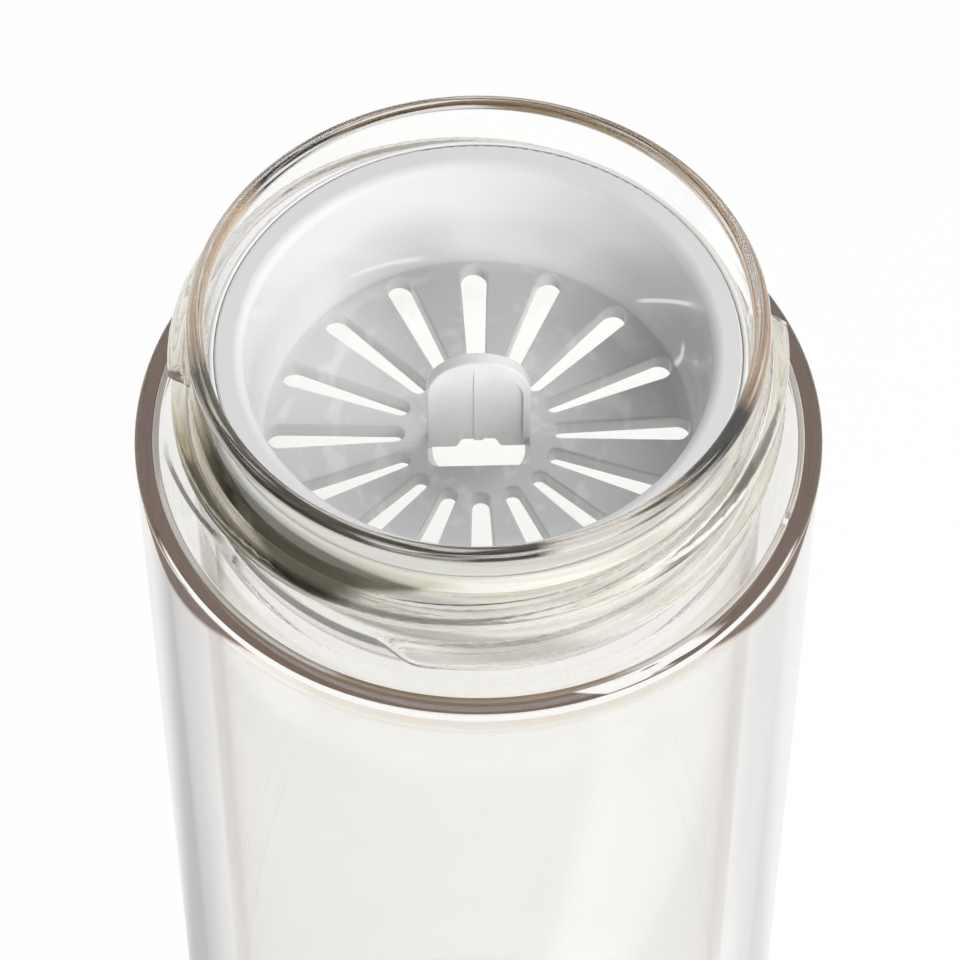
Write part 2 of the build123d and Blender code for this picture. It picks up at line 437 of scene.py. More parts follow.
def turned_mesh(name, outline, start=0.0, sweep=360.0, swell=None):
    """Turn a closed outline about Z; swell(r, z, angle) may push a point outwards."""
    outline = held(outline)
    whole = sweep >= 360
    columns = TURN_STEPS if whole else ceil(TURN_STEPS * sweep / 360) + 1
    step = radians(sweep) / (columns if whole else columns - 1)
    vertices = []
    rows = []
    for r, z in outline:
        if r == 0:
            rows.append([len(vertices)] * columns)
            vertices.append((0, 0, z * MM))
            continue
        rows.append(list(range(len(vertices), len(vertices) + columns)))
        for column in range(columns):
            angle = radians(start) + column * step
            reach = r + (swell(r, z, angle) if swell else 0)
            vertices.append((reach * MM * cos(angle), reach * MM * sin(angle), z * MM))
    faces = []
    for row, next_row in zip(rows, rows[1:] + rows[:1]):
        for column in range(columns if whole else columns - 1):
            other = (column + 1) % columns
            corners = [row[column], row[other], next_row[other], next_row[column]]
            face = list(dict.fromkeys(corners))
            if len(face) > 2:
                faces.append(face)
    if not whole:
        faces.append([row[0] for row in rows])
        faces.append([row[-1] for row in reversed(rows)])
    return finished_mesh(name, vertices, faces)


def finished_mesh(name, vertices, faces):
    """A smooth-shaded object whose creases stay sharp and whose faces look outwards."""
    mesh = bpy.data.meshes.new(name)
    mesh.from_pydata(vertices, [], faces)
    piece = bpy.data.objects.new(name, mesh)
    bpy.context.scene.collection.objects.link(piece)
    shape = bmesh.new()
    shape.from_mesh(mesh)
    bmesh.ops.recalc_face_normals(shape, faces=shape.faces)
    shape.to_mesh(mesh)
    shape.free()
    mesh.shade_smooth()
    mesh.set_sharp_from_angle(angle=radians(CREASE_ANGLE))
    return piece


def smooth_step(value):
    """Ease from 0 to 1 as value goes from 0 to 1."""
    value = min(1.0, max(0.0, value))
    return value * value * (3 - 2 * value)


def thread_swell(r, z, angle):
    """How far the thread stands out of the neck's wall at a height and a turn."""
    above_shoulder = z - shoulder
    on_wall = abs(r - NECK_RADIUS) < SEAM_GAP and 0 < above_shoulder < THREAD_TOP + THREAD_BASE
    if not on_wall:
        return 0
    flank = (THREAD_BASE - THREAD_CREST) / 2
    tallest = 0
    for start in range(THREAD_STARTS):
        top_turn = THREAD_TOP_TURN + start * 360 / THREAD_STARTS
        down_turn = (top_turn - degrees(angle)) % 360
        centre = THREAD_TOP - THREAD_LEAD * down_turn / 360
        across = smooth_step((THREAD_BASE / 2 - abs(above_shoulder - centre)) / flank)
        from_top = radians(down_turn) * NECK_RADIUS / THREAD_END
        from_foot = radians(THREAD_SWEEP - down_turn) * NECK_RADIUS / THREAD_FOOT_END
        along = smooth_step(from_top) * smooth_step(from_foot)
        tallest = max(tallest, across * along)
    return THREAD_HEIGHT * tallest


def make_shell():
    """Outer shell: foot ring, recessed floor, straight wall, and the seat in its top."""
    seat_radius = body_radius - RIM_WALL
    inner_radius = seat_radius - SEAT_STEP
    foot_inner = body_radius - FOOT_WIDTH
    floor_top = FOOT_RECESS + SHELL_FLOOR
    outline = rounded([
        (0, FOOT_RECESS, 0),
        (foot_inner, FOOT_RECESS, RECESS_ROUND),
        (foot_inner, 0, 0),
        (body_radius, 0, FOOT_ROUND),
        (body_radius, shoulder, RIM_ROUND),
        (seat_radius, shoulder, 0),
        (seat_radius, shoulder - SEAT_DEPTH, 0),
        (inner_radius, shoulder - SEAT_DEPTH, 0),
        (inner_radius, floor_top, SHELL_CORNER),
        (0, floor_top, 0),
    ])
    return turned_mesh("shell_clear", outline)


def make_bottle():
    """Inner bottle: liner, collar, shoulder, threaded neck and the ledge that holds the strainer."""
    liner_radius = body_radius - RIM_WALL - SEAT_STEP - LINER_GAP
    liner_inner = liner_radius - LINER_WALL
    groove_radius = seam_radius - SEAM_WIDTH - SEAM_GAP
    mouth_radius = NECK_RADIUS - NECK_WALL
    throat_radius = mouth_radius - LEDGE_WIDTH
    ledge = seal_bottom - SEAL_CLEARANCE
    throat_bottom = ledge - THROAT_LENGTH
    below = rounded([
        (0, liner_bottom, 0),
        (liner_radius, liner_bottom, LINER_CORNER + LINER_WALL),
        (liner_radius, shoulder - SEAT_DEPTH, 0),
        (collar_radius, shoulder - SEAT_DEPTH, 0),
        (collar_radius, seam_bottom, 0),
        (groove_radius, seam_bottom, 0),
        (groove_radius, shoulder, 0),
        (NECK_RADIUS, shoulder, NECK_FILLET),
        (NECK_RADIUS, lip_top, 0),
    ])[:-1]
    thread_rows = ceil((THREAD_TOP + THREAD_BASE / 2 - NECK_FILLET) / THREAD_ROW)
    foot = shoulder + NECK_FILLET
    neck = [(NECK_RADIUS, foot + row * THREAD_ROW) for row in range(1, thread_rows + 1)]
    above = rounded([
        (NECK_RADIUS, foot, 0),
        (NECK_RADIUS, lip_top, LIP_ROUND),
        (mouth_radius, lip_top, LIP_ROUND),
        (mouth_radius, ledge, 0),
        (throat_radius, ledge, LEDGE_ROUND),
        (throat_radius, throat_bottom, THROAT_ROUND),
        (liner_inner, throat_bottom - THROAT_FLARE, THROAT_ROUND),
        (liner_inner, liner_bottom + LINER_WALL, LINER_CORNER),
        (0, liner_bottom + LINER_WALL, 0),
    ])[1:]
    return turned_mesh("bottle_clear", below + neck + above, swell=thread_swell)


def make_seam():
    """Thin ring in the groove between shoulder and shell, split at one place."""
    outline = rounded([
        (seam_radius - SEAM_WIDTH, seam_bottom, 0),
        (seam_radius, seam_bottom, 0),
        (seam_radius, shoulder, SEAM_WIDTH / 4),
        (seam_radius - SEAM_WIDTH, shoulder, SEAM_WIDTH / 4),
    ])
    split = degrees(SEAM_SPLIT / seam_radius)
    return turned_mesh("seam_bead", outline, SEAM_SPLIT_TURN + split / 2, 360 - split)


def make_seal():
    """Soft ring of L section round the strainer's flange, rounded where it meets the neck."""
    wall_inner = seal_radius - SEAL_WALL
    lip_inner = seal_radius - SEAL_WALL - SEAL_LIP_WIDTH
    outline = rounded([
        (lip_inner, seal_bottom, SEAL_ROUND),
        (seal_radius, seal_bottom, SEAL_ROUND),
        (seal_radius, flange_top, SEAL_TOP_ROUND),
        (wall_inner, flange_top, SEAL_TOP_ROUND),
        (wall_inner, seal_bottom + SEAL_LIP, 0),
        (lip_inner, seal_bottom + SEAL_LIP, 0),
    ])
    return turned_mesh("seal_ring", outline)


class Spot:
    """Where a shaded point lies: reach from Z and height in millimetres, turn in degrees, and tilt.

    The turn counts to the right from straight in front. The tilt is 1 where a face looks up.
    """

    def __init__(self, nodes):
        coordinates = nodes.add("ShaderNodeTexCoord").outputs
        across, forward, up = nodes.split(coordinates["Object"])
        self.x = nodes.times(across, 1 / MM)
        self.y = nodes.times(forward, 1 / MM)
        self.z = nodes.times(up, 1 / MM)
        self.above = nodes.math("SUBTRACT", self.z, shoulder)
        self.tilt = nodes.split(coordinates["Normal"])[2]
        self.turn = nodes.math("DEGREES", nodes.math("ARCTAN2", self.x, nodes.times(self.y, -1.0)))
        squares = nodes.plus(nodes.times(self.x, self.x), nodes.times(self.y, self.y))
        self.reach = nodes.math("SQRT", squares)


class Nodes:
    """Short way to fill a node tree: add a node with its settings and inputs, and link sockets."""

    def __init__(self, owner):
        owner.use_nodes = True
        self.tree = owner.node_tree
        self.tree.nodes.clear()

    def add(self, kind, inputs=None, **settings):
        node = self.tree.nodes.new(kind)
        for key, value in settings.items():
            setattr(node, key, value)
        for key, value in (inputs or {}).items():
            if isinstance(value, bpy.types.NodeSocket):
                self.tree.links.new(value, node.inputs[key])
            else:
                node.inputs[key].default_value = value
        return node

    def math(self, operation, first, second=0.0):
        return self.add("ShaderNodeMath", {0: first, 1: second}, operation=operation).outputs[0]

    def times(self, first, *others):
        for other in others:
            first = self.math("MULTIPLY", first, other)
        return first

    def plus(self, first, *others):
        for other in others:
            first = self.math("ADD", first, other)
        return first

    def off(self, value, middle):
        """How far a value is from a middle."""
        return self.math("ABSOLUTE", self.math("SUBTRACT", value, middle))

    def ramp(self, value, low, high, to_low=0.0, to_high=1.0, smooth=False):
        kind = "SMOOTHSTEP" if smooth else "LINEAR"
        inputs = {0: value, 1: low, 2: high, 3: to_low, 4: to_high}
        return self.add("ShaderNodeMapRange", inputs, interpolation_type=kind).outputs[0]

    def colours(self, share, first, second):
        """Mix of two colours, by the mix node's sockets for its share and its colours."""
        return self.add("ShaderNodeMix", {0: share, 6: first, 7: second}, data_type="RGBA").outputs[2]

    def rise(self, value, low, high):
        """0 at low and 1 at high, smoothly; low may be the larger."""
        return self.ramp(value, low, high, smooth=True)

    def noise(self, scale, detail=2.0, vector=None):
        inputs = {"Scale": scale, "Detail": detail}
        if vector:
            inputs["Vector"] = vector
        return self.add("ShaderNodeTexNoise", inputs).outputs[0]

    def flat_noise(self, scale, detail, across, along, deep=0.0):
        """Noise by a place of the caller's own."""
        place = self.add("ShaderNodeCombineXYZ", {0: across, 1: along, 2: deep}).outputs[0]
        return self.noise(scale, detail, place)

    def place(self):
        return self.add("ShaderNodeTexCoord").outputs["Object"]

    def split(self, vector):
        return self.add("ShaderNodeSeparateXYZ", {0: vector}).outputs

    def round_tones(self, turn, stops):
        """Colour by turn, through stops of (degrees from straight in front, red, green, blue)."""
        node = self.add("ShaderNodeValToRGB", {0: self.ramp(turn, -180.0, 180.0)})
        elements = node.color_ramp.elements
        while len(elements) < len(stops):
            elements.new(0.5)
        for element, (place, red, green, blue) in zip(elements, stops):
            element.position = (place + 180) / 360
            element.color = (red, green, blue, 1)
        return node.outputs[0]

    def sector(self, turn, middle, half):
        """1 within half degrees of a middle turn."""
        return self.rise(self.off(turn, middle), half + SECTOR_FADE, half - SECTOR_FADE)

    def glow(self, colour, strength=1.0):
        return self.add("ShaderNodeEmission", {0: colour, 1: strength}).outputs[0]

    def mixed(self, share, first, second):
        return self.add("ShaderNodeMixShader", {0: share, 1: first, 2: second}).outputs[0]


def clear_plastic(name, long_path, end_glow, painted_light):
    """Clear plastic, faintly brown in depth, that lets lamp light through to what it holds.

    Light that is led down inside a wall comes out after many bounces. It is cut off after
    long_path of them, with end_glow for the light that would still have come through.
    The last argument, called with the nodes and the clear shader, adds what one piece has and the other
    lacks, such as painted light and shade.
    """
    material = bpy.data.materials.new(name)
    nodes = Nodes(material)
    haze = nodes.noise(CLEAR_HAZE, 3.0, nodes.place())
    clear = nodes.add("ShaderNodeBsdfPrincipled", {
        "Base Color": nodes.colours(haze, CLEAR_WARM, CLEAR_COOL),
        "Roughness": nodes.ramp(haze, *FINISH_LEVEL, *CLEAR_ROUGHNESS),
        "IOR": PLASTIC_IOR,
        "Transmission Weight": 1.0,
    })
    path = nodes.add("ShaderNodeLightPath").outputs
    at_end = nodes.math("GREATER_THAN", path["Ray Depth"], long_path)
    surface = nodes.mixed(at_end, painted_light(nodes, clear), nodes.glow(end_glow))
    through = nodes.add("ShaderNodeBsdfTransparent", {0: CLEAR_WARM}).outputs[0]
    lets_light = nodes.math("MAXIMUM", path["Is Shadow Ray"], path["Is Diffuse Ray"])
    surface = nodes.mixed(lets_light, surface, through)
    depth = nodes.add("ShaderNodeVolumeAbsorption", {0: TINT_DEEP, 1: TINT_DENSITY}).outputs[0]
    nodes.add("ShaderNodeOutputMaterial", {"Surface": surface, "Volume": depth})
    return material


def bonded_share(nodes, spot, radius):
    """1 on the seat's step and on its upright face at a radius, where shoulder and shell are bonded."""
    flat = nodes.math("GREATER_THAN", nodes.math("ABSOLUTE", spot.tilt), FLAT_TILT)
    at_step = nodes.math("LESS_THAN", nodes.off(spot.above, -SEAT_DEPTH), STEP_REACH)
    at_face = nodes.math("LESS_THAN", nodes.off(spot.reach, radius), FACE_REACH)
    over_step = nodes.math("GREATER_THAN", spot.above, -SEAT_DEPTH)
    face = nodes.times(at_face, over_step, nodes.math("SUBTRACT", 1.0, flat))
    return nodes.math("MAXIMUM", nodes.times(flat, at_step), face)


def rim_edge_highlight(nodes, spot, aside):
    """Share of the painted highlight, a white line along the rim's rounded edge."""
    front = nodes.rise(aside, EDGE_END, EDGE_END - EDGE_FADE)
    foot = nodes.ramp(aside, EDGE_FULL, EDGE_END, EDGE_TILT, EDGE_TILT_END)
    low = nodes.rise(spot.tilt, foot, nodes.plus(foot, EDGE_TILT_FADE))
    at_rim = nodes.math("GREATER_THAN", spot.above, -RIM_ROUND)
    return nodes.times(nodes.rise(spot.tilt, *EDGE_TILT_TOP), low, front, at_rim)


def rim_band_refraction(nodes, spot, aside):
    """Share of the brown band painted under the rim as refraction of its brown face, with its fringe."""
    swell = nodes.rise(aside, BAND_START, BAND_MIDDLE)
    swell = nodes.times(swell, nodes.ramp(aside, BAND_END, BAND_MIDDLE, BAND_END_SWELL, 1.0, smooth=True))
    over_foot = nodes.plus(spot.above, nodes.times(swell, BAND_DEPTH))
    band = nodes.times(nodes.rise(over_foot, *BAND_EDGE), nodes.ramp(swell, 0.0, BAND_START_SWELL))
    band = nodes.times(band, nodes.rise(aside, BAND_END + BAND_END_FADE, BAND_END))
    fringe = nodes.ramp(spot.above, -FRINGE_DEPTH, -FRINGE_DEPTH / 3, 0.0, FRINGE_SHARE, smooth=True)
    band = nodes.math("MAXIMUM", band, nodes.times(fringe, nodes.ramp(aside, BAND_END, BAND_MIDDLE)))
    outside = nodes.math("GREATER_THAN", spot.reach, body_radius - RIM_ROUND)
    return nodes.times(band, nodes.rise(spot.tilt, *BAND_TILT), outside)


def rim_glint(nodes, spot):
    """Share of the glint on the rim's flat face."""
    across, along = FACE_GRAIN
    grain = nodes.flat_noise(1.0, 2.0, nodes.times(spot.reach, across), nodes.times(spot.turn, along))
    lean = nodes.math("SUBTRACT", spot.turn, nodes.times(spot.reach, GLINT_LEAN))
    start = nodes.rise(lean, GLINT_START, GLINT_START + GLINT_START_FADE)
    end = nodes.rise(lean, GLINT_END, GLINT_END - GLINT_END_FADE)
    return nodes.times(start, end, nodes.rise(grain, *GLINT_LEVEL))


def shell_painted_light(nodes, clear):
    """Painted light on the shell: the rim's flat face glows brown for light led down inside the wall, with
    a painted glint, its rounded edge has a painted highlight, and painted brown refraction shows under it.
    """
    spot = Spot(nodes)
    aside = nodes.math("ABSOLUTE", spot.turn)
    # Painted refraction: the band under the rim glows tan to brown
    band = rim_band_refraction(nodes, spot, aside)
    brown = nodes.glow(nodes.colours(band, BAND_REFRACTED_TAN, BAND_REFRACTED_BROWN))
    surface = nodes.mixed(nodes.times(band, BAND_SHARE), clear.outputs[0], brown)
    # The rim's flat face glows brown, painted for light led down inside the wall, with a painted glint
    glint = rim_glint(nodes, spot)
    on_top = nodes.math("GREATER_THAN", spot.above, -SEAM_GAP)
    face = nodes.times(nodes.ramp(spot.tilt, *FACE_TILT), on_top)
    face = nodes.times(face, nodes.ramp(glint, 0.0, 1.0, FACE_SHARE, GLINT_SHARE))
    surface = nodes.mixed(face, surface, nodes.glow(nodes.colours(glint, RIM_GLOW_BROWN, HIGHLIGHT_WHITE)))
    # Painted highlight along the rim's rounded edge
    surface = nodes.mixed(rim_edge_highlight(nodes, spot, aside), surface, nodes.glow(HIGHLIGHT_WHITE))
    through = nodes.add("ShaderNodeBsdfTransparent", {0: CLEAR_WARM}).outputs[0]
    return nodes.mixed(bonded_share(nodes, spot, body_radius - RIM_WALL), surface, through)


def neck_shade_patch(nodes, spot):
    """Share of the painted shade in a dark patch at the left of the neck's front."""
    foot = nodes.ramp(spot.turn, *PATCH_FOOT, 0.0, PATCH_TIP_HEIGHT)
    patch = nodes.rise(nodes.math("SUBTRACT", spot.above, foot), *PATCH_FOOT_FADE)
    patch = nodes.times(patch, nodes.rise(spot.above, *PATCH_TOP))
    return nodes.times(patch, nodes.rise(spot.turn, *PATCH_LEFT), nodes.rise(spot.turn, *PATCH_RIGHT))


def neck_shade_line(nodes, spot):
    """Share of the painted shade in a dark line under the upper thread at the right."""
    height = nodes.ramp(spot.turn, *LINE_TURNS, *LINE_HEIGHTS)
    width = nodes.rise(nodes.off(spot.above, height), *LINE_WIDTH)
    return nodes.times(width, nodes.sector(spot.turn, LINE_MIDDLE, LINE_HALF))


def neck_shade_stretch(nodes, spot):
    """Share of the painted shade in a darker stretch under the patch."""
    low, high = STRETCH_HEIGHTS
    from_low = nodes.rise(spot.above, low - STRETCH_FADE, low + STRETCH_FADE)
    to_high = nodes.rise(spot.above, high + STRETCH_FADE, high - STRETCH_FADE)
    return nodes.times(from_low, to_high, nodes.sector(spot.turn, STRETCH_MIDDLE, STRETCH_HALF))


def neck_painted_shade(nodes, spot, wall, olive):
    """Painted shade in the neck: its tint with its soft bands, its patch and its dark streaks."""
    across = nodes.plus(spot.above, nodes.times(spot.turn, THREAD_LEAD / 360))
    wave = nodes.math("SINE", nodes.times(across, WAVE_RATE))
    wave = nodes.ramp(wave, WAVE_FROM, 1.0, 0.0, WAVE_SHARE, smooth=True)
    wave = nodes.times(wave, nodes.sector(spot.turn, WAVE_MIDDLE, WAVE_HALF), wall)
    olive = nodes.colours(nodes.times(wave, nodes.ramp(spot.above, *WAVE_FOOT)), olive, DEEPER_SHADE_OLIVE)
    # Painted shade in a patch at the left of the neck's front
    patch = neck_shade_patch(nodes, spot)
    olive = nodes.colours(nodes.times(patch, wall), olive, DEEPER_SHADE_OLIVE)
    line = neck_shade_line(nodes, spot)
    level = nodes.flat_noise(STREAK_ACROSS, 0.0, across, nodes.times(spot.turn, STREAK_ALONG))
    level = nodes.plus(level, nodes.times(patch, PATCH_WEIGHT), nodes.times(line, LINE_WEIGHT))
    level = nodes.plus(level, nodes.times(neck_shade_stretch(nodes, spot), STRETCH_WEIGHT))
    in_front = nodes.sector(spot.turn, STREAK_MIDDLE, STREAK_HALF)
    level = nodes.plus(level, nodes.ramp(in_front, 0.0, 1.0, STREAK_OUTSIDE, 0.0))
    streak = nodes.times(nodes.rise(level, *STREAK_LEVEL), nodes.sector(spot.turn, 0.0, OLIVE_HALF), wall)
    streak = nodes.times(streak, nodes.rise(spot.above, *STREAK_FOOT), nodes.rise(spot.above, *STREAK_TOP))
    weight = nodes.ramp(nodes.plus(patch, line), 0.0, 1.0, STREAK_SHARE, STREAK_DARKEST)
    return nodes.colours(nodes.times(streak, weight), olive, DARKEST_SHADE_OLIVE)


def root_shade_line(nodes, spot, wall):
    """Share of the painted shade in a line round the neck's root, and of its end out on the shoulder at the
    left.
    """
    leaves_at, stays_at = ROOT_LEAVES
    out = nodes.ramp(spot.turn, *ROOT_LINE_TURNS, ROOT_LINE_OUT, NECK_RADIUS)
    on_shoulder = nodes.ramp(nodes.off(spot.reach, out), *ROOT_LINE_WIDTH)
    on_shoulder = nodes.times(on_shoulder, nodes.math("LESS_THAN", spot.above, ROOT_SHOULDER_TOP))
    on_shoulder = nodes.times(on_shoulder, nodes.ramp(spot.turn, stays_at, leaves_at))
    on_wall = nodes.times(nodes.ramp(spot.above, *ROOT_LINE_FOOT), nodes.ramp(spot.above, *ROOT_LINE_TOP))
    on_wall = nodes.times(on_wall, wall, nodes.ramp(spot.turn, leaves_at, stays_at))
    line = nodes.times(nodes.plus(on_shoulder, on_wall), nodes.ramp(spot.turn, *ROOT_LINE_START))
    return nodes.times(line, nodes.ramp(spot.turn, *ROOT_LINE_END, 0.0, ROOT_LINE_SHARE))


def lip_reflections(nodes, spot):
    """Share of the painted reflections on the lip's rounded edge."""
    at_lip = nodes.math("GREATER_THAN", spot.above, lip_top - shoulder - LIP_ROUND)
    rings = nodes.times(spot.reach, LIP_RINGS)
    sideways = nodes.times(spot.x, LIP_PATCHES)
    forward = nodes.times(spot.y, LIP_PATCHES)
    ripple = nodes.flat_noise(1.0, 1.0, rings, sideways, forward)
    ripple = nodes.ramp(ripple, *LIP_LEVEL, LIP_LEAST, 1.0, smooth=True)
    return nodes.times(nodes.rise(spot.tilt, *LIP_TILT), at_lip, ripple)


def bottle_painted_light(nodes, clear):
    """Painted shade in the thick neck as olive tint and streaks, painted reflections on the lip, and a
    liner so thin that it bends little of the light.
    """
    spot = Spot(nodes)
    wall = nodes.math("GREATER_THAN", spot.reach, NECK_RADIUS - WALL_REACH)
    # Painted shade: an olive tint in the neck
    in_neck = nodes.times(nodes.rise(spot.above, 0.0, OLIVE_RISE), nodes.sector(spot.turn, 0.0, OLIVE_HALF))
    in_neck = nodes.times(in_neck, nodes.ramp(spot.above, *OLIVE_DEEPENS, OLIVE_FOOT_SHARE, 1.0))
    olive = nodes.colours(in_neck, CLEAR_WARM, NECK_SHADE_OLIVE)
    # Painted shade in streaks, bands and a patch on the neck
    olive = neck_painted_shade(nodes, spot, wall, olive)
    # Painted shade round the neck's root
    olive = nodes.colours(root_shade_line(nodes, spot, wall), olive, ROOT_SHADE_GREY)
    # Painted reflections on the lip's rounded edge
    olive = nodes.colours(lip_reflections(nodes, spot), olive, nodes.round_tones(spot.turn, LIP_REFLECTION_TONES))
    nodes.tree.links.new(olive, clear.inputs["Base Color"])
    thin = nodes.ramp(spot.above, THIN_TOP, THIN_TOP - THIN_FADE, 0.0, THIN_SHARE, smooth=True)
    see_through = nodes.math("MAXIMUM", thin, bonded_share(nodes, spot, collar_radius))
    through = nodes.add("ShaderNodeBsdfTransparent", {0: CLEAR_WARM}).outputs[0]
    return nodes.mixed(see_through, clear.outputs[0], through)


def bowl_highlights(nodes, spot):
    """Share of the studio's thin highlights on the bowl's glossy wall."""
    share = 0.0
    for turns, heights, width, fade in BOWL_HIGHLIGHTS:
        height = nodes.ramp(spot.turn, *turns, *heights)
        line = nodes.rise(nodes.off(spot.above, height), width, width / 3)
        half = (turns[1] - turns[0]) / 2
        ends = nodes.rise(nodes.off(spot.turn, turns[0] + half), half, half - fade)
        share = nodes.math("MAXIMUM", nodes.times(line, ends), share)
    return nodes.times(share, HIGHLIGHT_SHARE)


def strainer_colour(nodes, spot, cloud, on_wall):
    """Strainer's white: painted light at the foot of the bowl's wall, painted shade darkening its floor,
    and lighter swirls on its floor.
    """
    on_floor = nodes.math("LESS_THAN", spot.above, 0.0)
    across, along = SWIRLS
    swirl = nodes.flat_noise(1.0, 2.0, nodes.times(spot.reach, across), nodes.times(spot.turn, along))
    swirl = nodes.times(nodes.rise(swirl, *SWIRL_LEVEL), SWIRL_SHARE, on_floor)
    # Painted light at the foot of the bowl's wall, and the floor's lighter swirls
    light = nodes.math("MAXIMUM", nodes.times(on_wall, nodes.rise(spot.above, *WALL_PAINTED_LIGHT)), swirl)
    white = nodes.colours(cloud, STRAINER_WHITE, STRAINER_WHITE_DIM)
    # Painted shade on the bowl's floor
    white = nodes.colours(on_floor, white, STRAINER_FLOOR_SHADE)
    return nodes.colours(light, white, STRAINER_LIGHT)


def white_plastic():
    """Opaque glossy white moulding with a faint ripple in its gloss, painted shade on the bowl's floor,
    painted light at the foot of its wall and painted highlights on that wall.
    """
    material = bpy.data.materials.new("strainer_white")
    nodes = Nodes(material)
    spot = Spot(nodes)
    cloud = nodes.noise(STRAINER_CLOUD, 3.0, nodes.place())
    ripple = nodes.noise(STRAINER_RIPPLE, 2.0, nodes.place())
    wall_start, wall_end = BOWL_WALL
    beyond_floor = nodes.rise(spot.reach, wall_start - BOWL_WALL_EDGE, wall_start + BOWL_WALL_EDGE)
    on_wall = nodes.times(beyond_floor, nodes.math("LESS_THAN", spot.reach, wall_end))
    inputs = {"Strength": STRAINER_BUMP, "Distance": STRAINER_BUMP_DISTANCE, "Height": ripple}
    surface = nodes.add("ShaderNodeBsdfPrincipled", {
        "Base Color": strainer_colour(nodes, spot, cloud, on_wall),
        "Roughness": nodes.ramp(cloud, *FINISH_LEVEL, *STRAINER_ROUGHNESS),
        "IOR": STRAINER_IOR,
        "Normal": nodes.add("ShaderNodeBump", inputs).outputs[0],
    }).outputs[0]
    lit = nodes.times(bowl_highlights(nodes, spot), on_wall)
    surface = nodes.mixed(lit, surface, nodes.glow(PURE_WHITE))
    nodes.add("ShaderNodeOutputMaterial", {"Surface": surface})
    return material


def silicone():
    """Satin milky silicone."""
    material = bpy.data.materials.new("seal_silicone")
    nodes = Nodes(material)
    cloud = nodes.noise(SEAL_CLOUD, 3.0, nodes.place())
    surface = nodes.add("ShaderNodeBsdfPrincipled", {
        "Base Color": nodes.colours(cloud, SEAL_WHITE, SEAL_PALE),
        "Roughness": nodes.ramp(cloud, *FINISH_LEVEL, *SEAL_ROUGHNESS),
        "IOR": SEAL_IOR,
    }).outputs[0]
    nodes.add("ShaderNodeOutputMaterial", {"Surface": surface})
    return material


def seam_beige():
    """The seam's bead: beige in front and nearly clear elsewhere, with streaks round the ring."""
    material = bpy.data.materials.new("seam_beige")
    nodes = Nodes(material)
    spot = Spot(nodes)
    across, along = SEAM_GRAIN
    cloud = nodes.flat_noise(1.0, 3.0, nodes.times(spot.reach, across), nodes.times(spot.turn, along))
    front = nodes.ramp(spot.y, *SEAM_BEIGE_FROM, *SEAM_HELP, smooth=True)
    beige = nodes.rise(nodes.plus(cloud, front), *SEAM_LEVEL)
    surface = nodes.add("ShaderNodeBsdfPrincipled", {
        "Base Color": nodes.colours(beige, SEAM_PALE, SEAM_BEIGE),
        "Roughness": nodes.ramp(cloud, *FINISH_LEVEL, *SEAM_ROUGHNESS),
        "IOR": PLASTIC_IOR,
        "Transmission Weight": SEAM_CLEARNESS,
    }).outputs[0]
    nodes.add("ShaderNodeOutputMaterial", {"Surface": surface})
    return material


def dress(piece, material, body, node):
    """Give a piece its finish and the body that it moves with, and hide the CAD node that it stands for."""
    piece.data.materials.clear()
    piece.data.materials.append(material)
    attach(piece, body)
    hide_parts(node)


def make_floor():
    """Round pale table that shows as plain white and still takes the bottle's shadow; the glass sees
    painted shade and light on it by turn, and its paper is painted dark in one sector for the light it
    sends back.
    """
    bpy.ops.mesh.primitive_circle_add(vertices=FLOOR_SIDES, radius=FLOOR_RADIUS * MM, fill_type="NGON")
    floor = bpy.context.object
    floor.name = "floor"
    material = bpy.data.materials.new("floor_white")
    nodes = Nodes(material)
    grain = nodes.noise(FLOOR_GRAIN, 2.0, nodes.place())
    path = nodes.add("ShaderNodeLightPath").outputs
    seen = nodes.math("MAXIMUM", path["Is Camera Ray"], path["Is Transmission Ray"])
    seen = nodes.math("MAXIMUM", seen, path["Is Glossy Ray"])
    spot = Spot(nodes)
    # Painted shade and light on the floor, seen only by the glass
    far = nodes.ramp(spot.y, *FLOOR_FAR, 1.0, FLOOR_FAR_TONE, smooth=True)
    grey_stops = [(turn, grey, grey, grey) for turn, grey in FLOOR_PAINTED_TONES]
    grey = nodes.round_tones(spot.turn, grey_stops)
    grey = nodes.colours(nodes.rise(spot.reach, TONES_FROM, body_radius), PURE_WHITE, grey)
    strength = nodes.ramp(path["Is Camera Ray"], 0.0, 1.0, nodes.times(far, grey), FLOOR_SHOWN)
    # Painted shade: the paper is dark in one sector for the light it sends back to the bottle
    unlit = nodes.times(nodes.sector(spot.turn, *UNLIT_SECTOR), path["Is Diffuse Ray"])
    white = nodes.colours(grain, PAPER_WHITE, PAPER_GREY)
    colour = nodes.colours(unlit, white, PAPER_UNLIT)
    paper = nodes.add("ShaderNodeBsdfDiffuse", {"Color": colour}).outputs[0]
    surface = nodes.mixed(nodes.times(seen, FLOOR_GLOW), paper, nodes.glow(PURE_WHITE, strength))
    nodes.add("ShaderNodeOutputMaterial", {"Surface": surface})
    floor.data.materials.append(material)


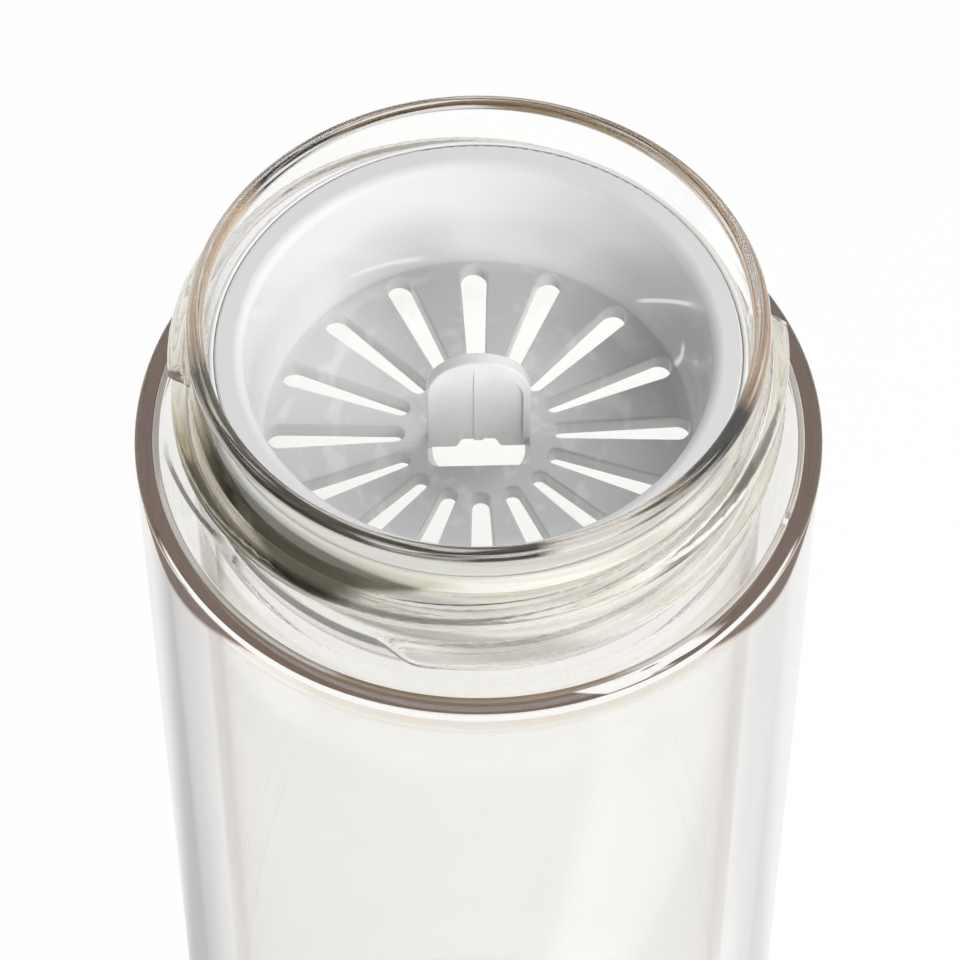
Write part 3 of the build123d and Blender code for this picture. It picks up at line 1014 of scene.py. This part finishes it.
def make_world():
    """White round the camera's view; reflections see a studio that is dim round the camera."""
    world = bpy.data.worlds.new("studio")
    bpy.context.scene.world = world
    nodes = Nodes(world)
    direction = nodes.add("ShaderNodeTexCoord").outputs["Generated"]
    inputs = {0: direction, 1: Vector(DIM_SIDE).normalized()}
    towards = nodes.add("ShaderNodeVectorMath", inputs, operation="DOT_PRODUCT").outputs["Value"]
    studio = nodes.ramp(towards, *STUDIO_FALL, smooth=True)
    height = nodes.split(direction)[2]
    room = nodes.ramp(height, 0.0, ROOM_OVERHEAD, ROOM_LOW, ROOM_HIGH)
    room = nodes.times(room, nodes.ramp(towards, *ROOM_FALL, smooth=True))
    path = nodes.add("ShaderNodeLightPath").outputs
    shown = nodes.math("MAXIMUM", path["Is Glossy Ray"], path["Is Transmission Ray"])
    strength = nodes.ramp(shown, 0.0, 1.0, room, studio)
    strength = nodes.math("MAXIMUM", strength, path["Is Camera Ray"])
    light = nodes.add("ShaderNodeBackground", {0: PURE_WHITE, 1: strength}).outputs[0]
    nodes.add("ShaderNodeOutputWorld", {"Surface": light})


def make_lamp(name, place, power):
    """Soft square lamp at a place in millimetres, turned to the neck and unseen in reflections."""
    data = bpy.data.lights.new(name, "AREA")
    data.shape = "RECTANGLE"
    data.size, data.size_y = Vector(LAMP_SIZE) * MM
    data.energy = power
    lamp = bpy.data.objects.new(name, data)
    lamp.location = Vector(place) * MM
    towards = Vector((0, 0, shoulder)) - Vector(place)
    lamp.rotation_euler = towards.to_track_quat("-Z", "Y").to_euler()
    lamp.visible_glossy = False
    lamp.visible_transmission = False
    bpy.context.scene.collection.objects.link(lamp)


def make_camera():
    """Camera above the front of the mouth, looking down along +Y."""
    data = bpy.data.cameras.new("camera")
    data.lens = CAMERA_LENS
    data.sensor_width = 36.0
    data.clip_start = 0.01
    camera = bpy.data.objects.new("camera", data)
    x, y, above_shoulder = CAMERA_PLACE
    camera.location = Vector((x, y, shoulder + above_shoulder)) * MM
    camera.rotation_euler = (radians(90 - CAMERA_PITCH), 0, 0)
    bpy.context.scene.collection.objects.link(camera)
    bpy.context.scene.camera = camera


shell_plastic = clear_plastic("shell_plastic", SHELL_LONG_PATH, SHELL_END_GLOW, shell_painted_light)
bottle_plastic = clear_plastic("bottle_plastic", BOTTLE_LONG_PATH, BOTTLE_END_GLOW, bottle_painted_light)
dress(make_shell(), shell_plastic, "bottle", "outer_shell")
dress(make_bottle(), bottle_plastic, "bottle", "inner_bottle")
dress(make_seam(), seam_beige(), "bottle", "seam_ring")
dress(make_seal(), silicone(), "strainer_cup", "strainer_seal")

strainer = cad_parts["strainer"]
strainer.data.materials.clear()
strainer.data.materials.append(white_plastic())

make_floor()
make_world()
make_lamp("key_back", KEY_BACK, KEY_BACK_POWER)
make_lamp("key_front", KEY_FRONT, KEY_FRONT_POWER)
make_camera()

# Light has to pass the eight faces of two nested vessels, and more near their edges
bpy.context.scene.cycles.max_bounces = 32
bpy.context.scene.cycles.transmission_bounces = 32
bpy.context.scene.cycles.glossy_bounces = 24
bpy.context.scene.cycles.transparent_max_bounces = 24

view = bpy.context.scene.view_settings
view.view_transform = "Standard"
